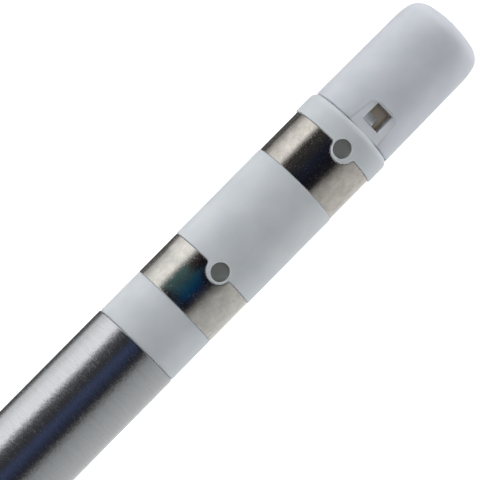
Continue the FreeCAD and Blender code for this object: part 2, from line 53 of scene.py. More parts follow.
past = 0.5  # mm that a cutter stands out from what it cuts
rimSteps = 4  # facets across a small rounded rim
scene = bpy.context.scene
nodes = frame["nodes"]


def station(node, side):
    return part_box(node)[side].x / mm  # a CAD node's end along the axis, in millimetres


axis = {
    "tubeFront": station("shaft_tube", 0),
    "tubeRear": station("shaft_tube", 1),
    "frontRing": station("front_contact_ring", 0),
    "rearRing": station("rear_contact_ring", 0),
    "seam": station("end_cap", 0),
    "crown": station("end_cap", 1),
    "stubEnd": station("connector_body", 1),
    "spigotFront": station("connector_body", 0),
    "bitTip": station("bit", 0),
    "bitRear": station("bit", 1),
}
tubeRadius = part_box("shaft_tube")[1].z / mm
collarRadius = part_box("connector_body")[1].z / mm


# Colours

def fromHex(code):
    values = [int(code[i:i + 2], 16) / 255 for i in (1, 3, 5)]
    linear = [v / 12.92 if v <= 0.04045 else ((v + 0.055) / 1.055) ** 2.4 for v in values]
    return (*linear, 1.0)


# Meshes

def drawOutline(bm, start, moves):
    # one wire loop: each move is a straight run to a point, or an arc about a centre
    first = last = bm.verts.new((*start, 0))
    for kind, *rest in moves:
        if kind == "line":
            point = bm.verts.new((*rest[0], 0))
            bm.edges.new((last, point))
            last = point
            continue
        centre, turn, steps = rest
        arc = bmesh.ops.spin(bm, geom=[last], cent=(*centre, 0), axis=(0, 0, 1),
                             angle=math.radians(turn), steps=steps)
        last = arc["geom_last"][0]
    bm.verts.ensure_lookup_table()
    if (first.co - last.co).length < touching:
        bmesh.ops.pointmerge(bm, verts=[first, last], merge_co=first.co)
    else:
        bm.edges.new((last, first))


def raiseOutline(bm, width):
    # makes the drawn outline a prism, half of it on each side
    face = bmesh.ops.contextual_create(bm, geom=bm.edges[:])["faces"]
    raised = bmesh.ops.extrude_face_region(bm, geom=face)["geom"]
    moved = [g for g in raised if isinstance(g, bmesh.types.BMVert)]
    bmesh.ops.translate(bm, verts=moved, vec=(0, 0, width))
    bmesh.ops.translate(bm, verts=bm.verts, vec=(0, 0, -width / 2))


def turnProfile(bm, segments):
    # sweeps the drawn half section (x, radius) once round the axis
    onAxis = [e for e in bm.edges if max(abs(v.co.y) for v in e.verts) < exact]
    bmesh.ops.delete(bm, geom=onAxis, context="EDGES")
    bmesh.ops.spin(bm, geom=bm.verts[:] + bm.edges[:], cent=(0, 0, 0), axis=(1, 0, 0),
                   angle=math.tau, steps=segments, use_merge=True)
    bmesh.ops.remove_doubles(bm, verts=bm.verts, dist=touching)
    bmesh.ops.recalc_face_normals(bm, faces=bm.faces)


def bevelCorners(bm, corners, segments=5):
    # rounds the corners of a flat outline before it is swept: (x, y, round)
    for x, y, size in corners:
        near = [v for v in bm.verts if (v.co.xy - Vector((x, y))).length < close]
        bmesh.ops.bevel(bm, geom=near, offset=size, offset_type="OFFSET", affect="VERTICES",
                        segments=segments, profile=0.5, material=-1, clamp_overlap=True)


def roundProfile(bm, start, points, rounds, segments=5):
    # a straight-sided half section with some of its corners rounded, ready to be swept
    drawOutline(bm, start, [("line", point) for point in points])
    bmesh.ops.contextual_create(bm, geom=bm.edges[:])
    bevelCorners(bm, rounds, segments)
    bmesh.ops.delete(bm, geom=bm.faces[:], context="FACES_ONLY")


def lugPath(x, side, look, gap=0.0):
    # the rounded lug that stands out from a straight edge at x towards the tube, beside the top line
    radius, corner = look["lugRadius"] + gap, look["lugCorner"] - gap
    centre = (x + look["lugOffset"], side)
    reach = look["lugOffset"] + look["lugCorner"]
    spread = math.sqrt((radius + corner) ** 2 - reach ** 2)
    lean = math.degrees(math.atan2(spread, reach))
    low = (x - look["lugCorner"], side - spread)
    high = (x - look["lugCorner"], side + spread)
    return [
        ("line", (x - gap, side - spread)),
        ("arc", low, lean, look["cornerSteps"]),
        ("arc", centre, -2 * lean, look["lugSteps"]),
        ("arc", high, lean, look["cornerSteps"]),
    ]


def wrapBand(start, moves, inner, outer, rim, rearRim, slices):
    # a flat plate with rounded outer rims, rolled up round the axis into a closed band
    bm = bmesh.new()
    drawOutline(bm, start, moves)
    plate = bmesh.ops.contextual_create(bm, geom=bm.edges[:])["faces"]
    raised = bmesh.ops.extrude_face_region(bm, geom=plate)["geom"]
    top = [g for g in raised if isinstance(g, bmesh.types.BMVert)]
    bmesh.ops.translate(bm, verts=top, vec=(0, 0, outer - inner))
    half = math.pi * outer

    def atEnd(verts):
        return abs(sum(v.co.y for v in verts)) > len(verts) * (half - close)

    topFace = next(g for g in raised if isinstance(g, bmesh.types.BMFace))
    sides = [e for e in topFace.edges if not atEnd(e.verts)]
    rear = [e for e in sides if min(abs(v.co.y) for v in e.verts) > half - close]
    rimEdges = [e for e in sides if e not in rear]
    for edges, size in ((rear, rearRim), (rimEdges, rim)):
        bmesh.ops.bevel(bm, geom=edges, offset=size, offset_type="OFFSET", affect="EDGES",
                        segments=rimSteps, profile=0.5, material=-1, clamp_overlap=True)
    ends = [f for f in bm.faces if atEnd(f.verts)]
    bmesh.ops.delete(bm, geom=ends, context="FACES")
    for index in range(1, slices):
        place = -half + 2 * half * index / slices
        bmesh.ops.bisect_plane(bm, geom=bm.verts[:] + bm.edges[:] + bm.faces[:],
                               plane_co=(0, place, 0), plane_no=(0, 1, 0), dist=exact)
    for v in bm.verts:
        angle, radius = v.co.y / outer, inner + v.co.z
        v.co.y, v.co.z = radius * math.sin(angle), radius * math.cos(angle)
    bmesh.ops.remove_doubles(bm, verts=bm.verts, dist=close)
    bmesh.ops.recalc_face_normals(bm, faces=bm.faces)
    return bm


def box(bm, low, high):
    size = [b - a for a, b in zip(low, high)]
    middle = [(a + b) / 2 for a, b in zip(low, high)]
    place = Matrix.Translation(middle) @ Matrix.Diagonal((*size, 1))
    bmesh.ops.create_cube(bm, size=1, matrix=place)


def rodMesh(radius, low, high, y, segments=32):
    # a plain rod along X, for bores
    bm = bmesh.new()
    place = Matrix.Translation(((low + high) / 2, y, 0)) @ Matrix.Rotation(math.pi / 2, 4, "Y")
    bmesh.ops.create_cone(bm, cap_ends=True, segments=segments, radius1=radius, radius2=radius,
                          depth=high - low, matrix=place)
    return bm


def looseObject(name, bm):
    mesh = bpy.data.meshes.new(name)
    bm.to_mesh(mesh)
    bm.free()
    piece = bpy.data.objects.new(name, mesh)
    scene.collection.objects.link(piece)
    return piece


def combine(bm, changes):
    # joins or cuts closed meshes one after another, and gives back one closed mesh
    for operation, tool in changes:
        base, other = looseObject("base", bm), looseObject("tool", tool)
        change = base.modifiers.new("change", "BOOLEAN")
        change.operation, change.object, change.solver = operation, other, "EXACT"
        bpy.context.view_layer.update()
        made = bpy.data.meshes.new_from_object(base.evaluated_get(bpy.context.evaluated_depsgraph_get()))
        bm = bmesh.new()
        bm.from_mesh(made)
        bmesh.ops.remove_doubles(bm, verts=bm.verts, dist=touching)
        for piece in (base, other):
            bpy.data.objects.remove(piece)
        bpy.data.meshes.remove(made)
    return bm


def finishPiece(name, bm, material, node, sharp=30):
    # to metres, smooth where the surface is round, and standing for its CAD node
    bmesh.ops.scale(bm, vec=(mm, mm, mm), verts=bm.verts)
    piece = looseObject(name, bm)
    piece.data.shade_smooth()
    piece.data.set_sharp_from_angle(angle=math.radians(sharp))
    piece.data.materials.append(material)
    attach(piece, "root")
    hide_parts(node)
    print("made", name, len(piece.data.polygons), "faces")


# Materials

def addNode(tree, kind, inputs=None, stops=None, **settings):
    node = tree.nodes.new(kind)
    for name, value in settings.items():
        setattr(node, name, value)
    for key, value in (inputs or {}).items():
        if isinstance(value, bpy.types.NodeSocket):
            tree.links.new(value, node.inputs[key])
        else:
            node.inputs[key].default_value = value
    if stops:
        ramp = node.color_ramp.elements
        while len(ramp) < len(stops):
            ramp.new(1.0)
        for element, (place, colour) in zip(ramp, stops):
            element.position, element.color = place, colour
    return node


def newMaterial(name):
    material = bpy.data.materials.new(name)
    material.use_nodes = True
    tree = material.node_tree
    tree.nodes.clear()
    shader = addNode(tree, "ShaderNodeBsdfPrincipled")
    addNode(tree, "ShaderNodeOutputMaterial", {"Surface": shader.outputs["BSDF"]})
    return material, tree, shader


def pattern(tree, size, **noise):
    # noise whose grain is given in millimetres along X, Y and Z
    coords = addNode(tree, "ShaderNodeTexCoord")
    scaled = addNode(tree, "ShaderNodeMapping", {
        "Vector": coords.outputs["Object"],
        "Scale": tuple(1 / (s * mm) for s in size),
    })
    inputs = {"Vector": scaled.outputs["Vector"], "Scale": 1.0}
    inputs.update({key.title(): value for key, value in noise.items()})
    return addNode(tree, "ShaderNodeTexNoise", inputs).outputs["Fac"]


noiseMiddle, noisePeak = (0.3, 0.7), (0.55, 0.72)  # where most of a noise lies, and its highest spots


def ranged(tree, value, start, end, **settings):
    # a value carried from one range to another, and held at their ends
    return addNode(tree, "ShaderNodeMapRange", {
        "Value": value, "From Min": start[0], "From Max": start[1], "To Min": end[0], "To Max": end[1],
    }, **settings).outputs["Result"]


def spread(tree, value, low, high):
    # stretches the middle of a noise to a wanted range
    return ranged(tree, value, noiseMiddle, (low, high))


def calculate(tree, operation, *values):
    return addNode(tree, "ShaderNodeMath", dict(enumerate(values)), operation=operation).outputs[0]


def calculateVector(tree, operation, *values):
    return addNode(tree, "ShaderNodeVectorMath", dict(enumerate(values)), operation=operation)


def bumped(tree, shader, height, strength, distance, under=None):
    # raises the surface by a noise, with the distance in mm, on top of a bump that may lie under it
    inputs = {"Height": height, "Strength": strength, "Distance": distance * mm}
    if under:
        inputs["Normal"] = under
    normal = addNode(tree, "ShaderNodeBump", inputs).outputs["Normal"]
    if shader:
        tree.links.new(normal, shader.inputs["Normal"])
    return normal


def between(tree, amount, one, two):
    # a colour between two, by the amount from 0 to 1
    return addNode(tree, "ShaderNodeMix", {0: amount, 6: one, 7: two}, data_type="RGBA").outputs[2]


plasticLook = {
    "moulding": ("#D2D7DB", "#C9CFD4"),
    "cap": ("#D4D8DF", "#CBD0D8"),
    "dimpleShade": "#A5A8A5", "dimpleShadeReach": 1.05,  # painted shade on the floors of the core pins' dimples, out to their radius times this
    "stub": "#EADFD0",  # painted light: a paler, warmer tone on the stub under the cap, for the light in the hollow behind the window
    "hollowLightSkin": 2.0, "hollowLightStart": 0.3,  # mm, its radius, and how far behind the seam it starts
    "flat": "#EEF1F6",  # painted light: a paler patch on the flat beside the cap's window, fading from the seam
    "flatLightSkin": (2.64, 2.60), "flatLightBelow": 0.1,  # mm, radii where it starts and is full, and its depth
    "mottle": 1.6,  # mm, slow flow marks
    "grain": 0.09,  # mm, spark-eroded mould skin, drawn coarse enough to show
    "bump": (0.18, 0.004),  # strength, and height in mm
    "roughness": 0.52,
    "through": 0.35, "reach": (0.9, 0.7, 0.55),  # mm that red, green and blue light go inside it
}


def within(tree, place, reach):
    # 1 where a value lies between two others, in mm
    low = calculate(tree, "GREATER_THAN", place, reach[0] * mm)
    high = calculate(tree, "LESS_THAN", place, reach[1] * mm)
    return calculate(tree, "MULTIPLY", low, high)


def fromAxis(tree, centre, keep):
    # how far a point of the object is from a centre, along the axes that are kept, and its own place
    coords = addNode(tree, "ShaderNodeTexCoord")
    apart = calculateVector(tree, "SUBTRACT", coords.outputs["Object"], centre).outputs[0]
    flat = calculateVector(tree, "MULTIPLY", apart, keep).outputs[0]
    far = calculateVector(tree, "LENGTH", flat).outputs["Value"]
    return far, addNode(tree, "ShaderNodeSeparateXYZ", {"Vector": coords.outputs["Object"]})


def paintedDimpleShade(tree, spots):
    # where the painted shade goes: 1 inside the dimples that core pins leave, below their depth line, by the
    # place on the object: (x, depth line, radius) in mm
    inside = 0.0
    for x, line, radius in spots:
        far, place = fromAxis(tree, (x * mm, 0, 0), (1, 1, 0))
        near, sunk = within(tree, far, (-1, radius)), within(tree, place.outputs["Z"], (0, line))
        inside = calculate(tree, "MAXIMUM", inside, calculate(tree, "MULTIPLY", near, sunk))
    return inside


def paintedHollowLight(tree):
    # where the painted light of the hollow goes: 1 on the stub that the cap covers, but not on the latch's
    # hook
    far, place = fromAxis(tree, (0, 0, 0), (0, 1, 1))
    inner = within(tree, far, (-1, plasticLook["hollowLightSkin"]))
    behind = within(tree, place.outputs["X"], (axis["seam"] + plasticLook["hollowLightStart"], axis["crown"]))
    return calculate(tree, "MULTIPLY", inner, behind)


def paintedFlatLight(tree):
    # where the painted light goes: how much a point lies below the cap's round skin beside its window, fading
    # from the seam
    far, place = fromAxis(tree, (0, 0, 0), (0, 1, 1))
    sunk = ranged(tree, far, [radius * mm for radius in plasticLook["flatLightSkin"]], (0.0, 1.0))
    seam = axis["seam"]
    fade = ranged(tree, place.outputs["X"], (seam * mm, (seam + capLook["flatLength"]) * mm), (1.0, 0.0))
    outside = within(tree, far, (capLook["flatHeight"] - plasticLook["flatLightBelow"], capLook["mouth"]))
    return calculate(tree, "MULTIPLY", calculate(tree, "MULTIPLY", sunk, fade), outside)


def mouldedPlastic(name, colours, spots=()):
    # glass-filled heat-proof plastic from a fine matt mould: soft, even, faintly mottled, with painted shade
    # in the dimples and painted light on the stub under the cap and on the flat
    material, tree, shader = newMaterial(name)
    flow = pattern(tree, [plasticLook["mottle"]] * 3, detail=2.0, roughness=0.5)
    colour = between(tree, spread(tree, flow, 0.0, 1.0), fromHex(colours[0]), fromHex(colours[1]))
    if spots:
        # painted shade darkens the lower half of each dimple
        colour = between(tree, paintedDimpleShade(tree, spots), colour, fromHex(plasticLook["dimpleShade"]))
        # painted light makes the stub under the cap paler and warmer
        colour = between(tree, paintedHollowLight(tree), colour, fromHex(plasticLook["stub"]))
    else:
        # painted light makes the flat beside the window paler
        colour = between(tree, paintedFlatLight(tree), colour, fromHex(plasticLook["flat"]))
    tree.links.new(colour, shader.inputs["Base Color"])
    grain = pattern(tree, [plasticLook["grain"]] * 3, detail=2.0, roughness=0.6)
    bumped(tree, shader, grain, *plasticLook["bump"])
    shader.inputs["Roughness"].default_value = plasticLook["roughness"]
    shader.inputs["IOR"].default_value = 1.5
    shader.inputs["Subsurface Weight"].default_value = plasticLook["through"]
    shader.inputs["Subsurface Radius"].default_value = plasticLook["reach"]
    shader.inputs["Subsurface Scale"].default_value = mm
    return material


steelLook = {
    "colours": ("#C1C3C5", "#B6B8BA"),
    "line": 0.06, "wideLine": 0.3,  # mm between polishing lines, and between their duller bands
    "run": 1.6,  # mm that a line keeps its tone, round the tube
    "grain": (0.12, 0.3, 0.3),  # mm, drawing marks that feather the reflections' edges
    "grainBump": (1.0, 0.014), "lineBump": (0.25, 0.002),  # strength, and height in mm
    "roughness": (0.11, 0.2),
    "scratch": (0.05, 0.45, 0.45),  # mm, short marks that catch light inside the dark band
    "scratchRoughness": 0.26,
}


def withSpecks(tree, roughness, marks, extra):
    # a roughness that rises where a noise of small marks peaks
    return calculate(tree, "ADD", roughness, ranged(tree, marks, noisePeak, (0.0, extra)))


def brushedStainless():
    # drawn stainless tube polished round: fine rings that feather every reflection
    material, tree, shader = newMaterial("brushedStainless")
    lines = pattern(tree, (steelLook["line"], steelLook["run"], steelLook["run"]),
                    detail=3.0, roughness=0.7)
    wide = pattern(tree, (steelLook["wideLine"], steelLook["run"], steelLook["run"]),
                   detail=2.0, roughness=0.6)
    colour = between(tree, spread(tree, lines, 0.0, 1.0), *map(fromHex, steelLook["colours"]))
    tree.links.new(colour, shader.inputs["Base Color"])
    scratch = pattern(tree, steelLook["scratch"], detail=2.0, roughness=0.5)
    plain = spread(tree, wide, *steelLook["roughness"])
    rough = withSpecks(tree, plain, scratch, steelLook["scratchRoughness"])
    tree.links.new(rough, shader.inputs["Roughness"])
    grain = pattern(tree, steelLook["grain"], detail=2.0, roughness=0.6)
    pores = bumped(tree, None, grain, *steelLook["grainBump"])
    bumped(tree, shader, lines, *steelLook["lineBump"], under=pores)
    shader.inputs["Metallic"].default_value = 1.0
    return material


ringLook = {
    "front": {"colours": ("#DAD7D1", "#BDBBB5"), "roughness": (0.05, 0.14)},
    "rear": {"colours": ("#D8D3CC", "#B7B2AB"), "roughness": (0.05, 0.14)},
    "grain": 0.08,  # mm, satin etch under the plating
    "bump": (1.0, 0.005),  # strength, and height in mm
    "tarnish": 0.5,  # mm, slow patches
    "speck": 0.11,  # mm, pits that catch light inside the dark band
    "speckRoughness": 0.3,
}


def platedRing(name, look):
    # nickel plate over a satin-etched drawn ring: pebbly sparkle and slow warm patches
    material, tree, shader = newMaterial(name)
    grain = pattern(tree, [ringLook["grain"]] * 3, detail=3.0, roughness=0.65)
    patches = pattern(tree, [ringLook["tarnish"]] * 3, detail=5.0, roughness=0.7)
    colour = between(tree, spread(tree, patches, 0.0, 1.0), *map(fromHex, look["colours"]))
    tree.links.new(colour, shader.inputs["Base Color"])
    specks = pattern(tree, [ringLook["speck"]] * 3, detail=2.0, roughness=0.5)
    rough = withSpecks(tree, spread(tree, grain, *look["roughness"]), specks, ringLook["speckRoughness"])
    tree.links.new(rough, shader.inputs["Roughness"])
    bumped(tree, shader, grain, *ringLook["bump"])
    shader.inputs["Metallic"].default_value = 1.0
    return material


bitLook = {
    "plate": ("#8F8E8C", "#7C7B79"),
    "tinned": "#C9CBCC",
    "tinnedLength": 4.0,  # mm from the tip
    "edge": 0.6, "edgeFade": 0.3,  # mm, ragged edge of the tinning, and how softly it ends
    "grain": 0.12,  # mm
    "bump": (0.3, 0.006),  # strength, and height in mm
    "roughness": (0.42, 0.16),  # of the plate and of the tin
}


def platedBit():
    # chromium over iron on copper, dull and fine-grained, with a bright tinned working end
    material, tree, shader = newMaterial("platedBit")
    coords = addNode(tree, "ShaderNodeTexCoord")
    along = addNode(tree, "ShaderNodeSeparateXYZ", {"Vector": coords.outputs["Object"]})
    grain = pattern(tree, [bitLook["grain"]] * 3, detail=3.0, roughness=0.6)
    ragged = pattern(tree, [bitLook["edge"] * 2] * 3, detail=2.0, roughness=0.5)
    edge = (axis["bitTip"] + bitLook["tinnedLength"]) * mm
    shifted = calculate(tree, "MULTIPLY_ADD", ragged, bitLook["edge"] * 2 * mm, along.outputs["X"])
    tinned = ranged(tree, shifted, (edge, edge + bitLook["edgeFade"] * mm), (1.0, 0.0))
    plate = between(tree, spread(tree, grain, 0.0, 1.0), *map(fromHex, bitLook["plate"]))
    colour = between(tree, tinned, plate, fromHex(bitLook["tinned"]))
    tree.links.new(colour, shader.inputs["Base Color"])
    tree.links.new(ranged(tree, tinned, (0.0, 1.0), bitLook["roughness"]), shader.inputs["Roughness"])
    bumped(tree, shader, grain, *bitLook["bump"])
    shader.inputs["Metallic"].default_value = 1.0
    return material


innerLook = {
    # slot: two hex tones, metallic, roughness, grain in mm, bump in mm
    "resistance_wire": ("#8C8781", "#6F6963", 1.0, 0.35, 0.05, 0.002),
    "nickel_wire": ("#B8B3A8", "#A09A8E", 1.0, 0.28, 0.06, 0.002),
    "alumina": ("#EDE9DF", "#E2DCCF", 0.0, 0.45, 0.08, 0.003),
    "ceramic_cement": ("#D8D2C2", "#C4BCA8", 0.0, 0.85, 0.12, 0.010),
    "glass_sleeving": ("#E9E3D0", "#D9D0B8", 0.0, 0.6, 0.15, 0.010),
    "solder": ("#BDBFC1", "#A5A7A9", 1.0, 0.22, 0.20, 0.004),
}


innerBump = 0.4  # strength of each one's bump


def innerMaterial(slot, look):
    # what is sealed inside: wire, fired ceramic, cement, woven glass sleeve and solder
    one, two, metallic, roughness, grainSize, bumpHeight = look
    material, tree, shader = newMaterial(slot.replace("_", "-"))
    grain = pattern(tree, [grainSize] * 3, detail=2.0, roughness=0.6)
    colour = between(tree, spread(tree, grain, 0.0, 1.0), fromHex(one), fromHex(two))
    tree.links.new(colour, shader.inputs["Base Color"])
    bumped(tree, shader, grain, innerBump, bumpHeight)
    shader.inputs["Metallic"].default_value = metallic
    shader.inputs["Roughness"].default_value = roughness
    return material


# Pieces

tubeLook = {"wall": 0.3, "edge": 0.09, "segments": 256}


def makeTube():
    bm = bmesh.new()
    front, rear, outside = axis["tubeFront"], axis["tubeRear"], tubeRadius
    inside, edge = outside - tubeLook["wall"], tubeLook["edge"]
    roundProfile(bm, (front, inside), [(front, outside), (rear, outside), (rear, inside)],
                 [(front, outside, edge), (rear, outside, edge)])
    turnProfile(bm, tubeLook["segments"])
    finishPiece("polishedTube", bm, brushedStainless(), "shaft_tube")


connectorLook = {
    "tubeBore": 2.45, "frontCollar": 2.72, "spacer": 2.75, "ringLength": 2.95,
    "frontSeat": 2.42, "rearSeat": 2.41, "stub": 2.02, "sunk": 1.3,
    "collarEdge": 0.07, "rim": 0.07, "rearRound": 0.4,
    "lugRadius": 0.77, "lugCorner": 0.2, "lugOffset": 0.04, "lugSteps": 40, "cornerSteps": 6,
    "frontLugSide": 0.08, "rearLugSide": -0.14,
    "dimpleRadius": 0.55, "dimpleDepth": 0.45, "dimpleFoot": 0.06, "pinLength": 1.0, "pinSegments": 64,
    "seatStep": 0.5, "coreEnd": 0.7,  # the core steps down before the rear ring, and inside the rear collar
    "slices": 180, "segments": 180,
}
latchLook = {
    "windowStart": 0.52, "slotWidth": 1.56, "slotFloor": 1.1,
    "width": 0.66, "thickness": 0.6, "ramp": 0.56, "clearance": 0.03, "flatHeight": 2.43,
    "sunk": 0.01, "root": 0.2,  # how far the beam lies under the stub's skin, and starts before the seam
}
leadLook = {"bore": 0.4, "offset": 0.55}


def dimpleTool(x, top):
    # the core pin that leaves a lug's round dimple, its foot slightly rounded
    look = connectorLook
    bm = bmesh.new()
    floor = top - look["dimpleDepth"]
    place = Matrix.Translation((x, 0, floor + look["pinLength"] / 2))
    bmesh.ops.create_cone(bm, cap_ends=True, segments=look["pinSegments"], radius1=look["dimpleRadius"],
                          radius2=look["dimpleRadius"], depth=look["pinLength"], matrix=place)
    foot = [e for e in bm.edges if max(v.co.z for v in e.verts) < floor + close]
    bmesh.ops.bevel(bm, geom=foot, offset=look["dimpleFoot"], offset_type="OFFSET", affect="EDGES",
                    segments=rimSteps, profile=0.5, material=-1, clamp_overlap=True)
    return bm


def makeConnector():
    look = connectorLook
    frontEdge = axis["frontRing"] + look["ringLength"]
    rearEdge = axis["rearRing"] + look["ringLength"]
    core = bmesh.new()
    step, stepBack = axis["rearRing"] - look["seatStep"], axis["seam"] - look["coreEnd"]
    roundProfile(
        core, (axis["spigotFront"], 0),
        [
            (axis["spigotFront"], look["tubeBore"]), (axis["tubeRear"], look["tubeBore"]),
            (axis["tubeRear"], look["frontCollar"]), (axis["frontRing"], look["frontCollar"]),
            (axis["frontRing"], look["frontSeat"]), (step, look["frontSeat"]),
            (step, look["rearSeat"]), (stepBack, look["rearSeat"]),
            (stepBack, look["stub"]), (axis["stubEnd"], look["stub"]), (axis["stubEnd"], 0),
        ],
        [
            (axis["tubeRear"], look["frontCollar"], look["collarEdge"]),
            (axis["frontRing"], look["frontCollar"], look["collarEdge"]),
        ],
    )
    turnProfile(core, look["segments"])
    changes = []
    for edge, rear, outer, side, rearRim in (
        (frontEdge, axis["rearRing"], look["spacer"], look["frontLugSide"], look["collarEdge"]),
        (rearEdge, axis["seam"], collarRadius, look["rearLugSide"], look["rearRound"]),
    ):
        half = math.pi * outer
        path = lugPath(edge, side, look)
        path += [("line", (edge, half)), ("line", (rear, half)), ("line", (rear, -half))]
        band = wrapBand((edge, -half), path, look["sunk"], outer, look["rim"], rearRim, look["slices"])
        changes.append(("UNION", band))
        changes.append(("DIFFERENCE", dimpleTool(edge, outer)))
    latch = latchLook
    slot = bmesh.new()
    box(slot, (axis["seam"] + latch["windowStart"], -latch["slotWidth"] / 2, latch["slotFloor"]),
        (axis["stubEnd"] + past, latch["slotWidth"] / 2, look["stub"] + past))
    changes.append(("DIFFERENCE", slot))
    changes.append(("UNION", latchFinger()))
    for side in (1, -1):
        changes.append(("DIFFERENCE", rodMesh(leadLook["bore"], axis["spigotFront"] - 2 * past,
                                              axis["stubEnd"] + 2 * past, side * leadLook["offset"])))
    bm = combine(core, changes)
    spots = [(edge, top - look["dimpleDepth"] / 2, look["dimpleRadius"] * plasticLook["dimpleShadeReach"])
             for edge, top in ((frontEdge, look["spacer"]), (rearEdge, collarRadius))]
    plastic = mouldedPlastic("connectorPlastic", plasticLook["moulding"], spots)
    finishPiece("connectorMoulding", bm, plastic, "connector_body", sharp=24)


def latchFinger():
    # a beam with a ramped hook, as one prism across Y
    look, latch = connectorLook, latchLook
    top = math.sqrt(look["stub"] ** 2 - (latch["width"] / 2) ** 2) - latch["sunk"]
    root = axis["seam"] - latch["root"]
    face = axis["seam"] + latch["windowStart"] + latch["clearance"]
    tail = face + latch["ramp"]
    bm = bmesh.new()
    drawOutline(bm, (root, top - latch["thickness"]), [
        ("line", (tail, top - latch["thickness"])),
        ("line", (tail, top)),
        ("line", (face, latch["flatHeight"] - latch["clearance"])),
        ("line", (face, top)),
        ("line", (root, top)),
    ])
    raiseOutline(bm, latch["width"])
    bmesh.ops.rotate(bm, verts=bm.verts, cent=(0, 0, 0), matrix=Matrix.Rotation(math.pi / 2, 3, "X"))
    bmesh.ops.recalc_face_normals(bm, faces=bm.faces)
    return bm


tailLook = {
    "width": 1.0, "thickness": 0.25, "root": 0.4, "bite": 0.06, "mitre": 0.08,
    "height": 1.45, "step": 0.8, "reach": 2.0, "leadFace": 0.81,
}
ringShape = {"edge": 0.05, "gap": 0.012, "wall": 0.3}


def makeRing(name, node, start, seat, side, lugSide, material):
    look, shape = connectorLook, ringShape
    end, outer = start + look["ringLength"], seat + shape["wall"]
    half = math.pi * outer
    face, edge = end - shape["gap"], shape["edge"]
    path = lugPath(end, lugSide, look, shape["gap"])
    path += [("line", (face, half)), ("line", (start, half)), ("line", (start, -half))]
    band = wrapBand((face, -half), path, seat, outer, edge, edge, look["slices"])
    bm = combine(band, [("UNION", ringTail(end, seat, side))])
    finishPiece(name, bm, material, node, sharp=32)


def ringTail(end, seat, side):
    # the strip that runs back inside the moulding to its lead
    tail, look = tailLook, connectorLook
    first, second = end + look["lugCorner"], axis["stubEnd"] + look["lugCorner"]
    root, far = end - tail["root"], axis["stubEnd"] + tail["reach"]
    line = [
        (root, seat + tail["bite"] - tail["thickness"]), (first, seat + tail["bite"] - tail["thickness"]),
        (first + tail["step"], tail["height"]), (second, tail["height"]),
        (second + tail["step"], tail["leadFace"]), (far, tail["leadFace"]),
    ]
    back = [(x if x in (root, far) else x + tail["mitre"], y + tail["thickness"]) for x, y in reversed(line)]
    bm = bmesh.new()
    drawOutline(bm, line[0], [("line", point) for point in line[1:] + back])
    raiseOutline(bm, tail["width"])
    if side < 0:
        bmesh.ops.rotate(bm, verts=bm.verts, cent=(0, 0, 0), matrix=Matrix.Rotation(math.pi, 3, "X"))
    bmesh.ops.recalc_face_normals(bm, faces=bm.faces)
    return bm


capLook = {
    "mouth": 2.66, "sideEnd": 2.61, "bore": 2.05, "roof": 0.8, "endLength": 1.9,
    "shoulder": 4.0, "crown": 7.0, "round": 1.0, "mouthEdge": 0.05, "turn": 6.0,
    "flatHeight": 2.43, "flatLength": 1.86, "flatHalfWidth": 1.2, "flatCorner": 0.9,
    "flatFall": 2.5,  # degrees, about the height in its middle
    "windowStart": 0.52, "windowLength": 1.22, "windowWidth": 1.22,
    "segments": 192, "shoulderSteps": 12, "roundSteps": 16, "crownSteps": 20, "flatSteps": 12,
}


def capProfile(bm):
    # the shoulder, the crown and the round that touches both, each an arc of its own circle
    look = capLook
    length = axis["crown"] - axis["seam"]
    sideEnd = length - look["endLength"]
    shoulder = Vector((sideEnd, look["sideEnd"] - look["shoulder"]))
    crown = Vector((length - look["crown"], 0))
    first, second = look["shoulder"] - look["round"], look["crown"] - look["round"]
    apart = crown - shoulder
    along = (first ** 2 - second ** 2 + apart.length_squared) / (2 * apart.length)
    rise = math.sqrt(first ** 2 - along ** 2)
    square = Vector((-apart.y, apart.x)).normalized()
    options = [shoulder + apart.normalized() * along + square * s * rise for s in (1, -1)]
    middle = max(options, key=lambda point: point.y)
    high = math.degrees(math.atan2(*(middle - shoulder).yx))
    low = math.degrees(math.atan2(*(middle - crown).yx))
    drawOutline(bm, (0, look["bore"]), [
        ("line", (0, look["mouth"])),
        ("line", (sideEnd, look["sideEnd"])),
        ("arc", tuple(shoulder), high - 90, look["shoulderSteps"]),
        ("arc", tuple(middle), low - high, look["roundSteps"]),
        ("arc", tuple(crown), -low, look["crownSteps"]),
        ("line", (length - look["roof"], 0)),
        ("line", (length - look["roof"], look["bore"])),
    ])
    bmesh.ops.contextual_create(bm, geom=bm.edges[:])
    bevelCorners(bm, [(0, look["mouth"], look["mouthEdge"])])
    bmesh.ops.delete(bm, geom=bm.faces[:], context="FACES_ONLY")


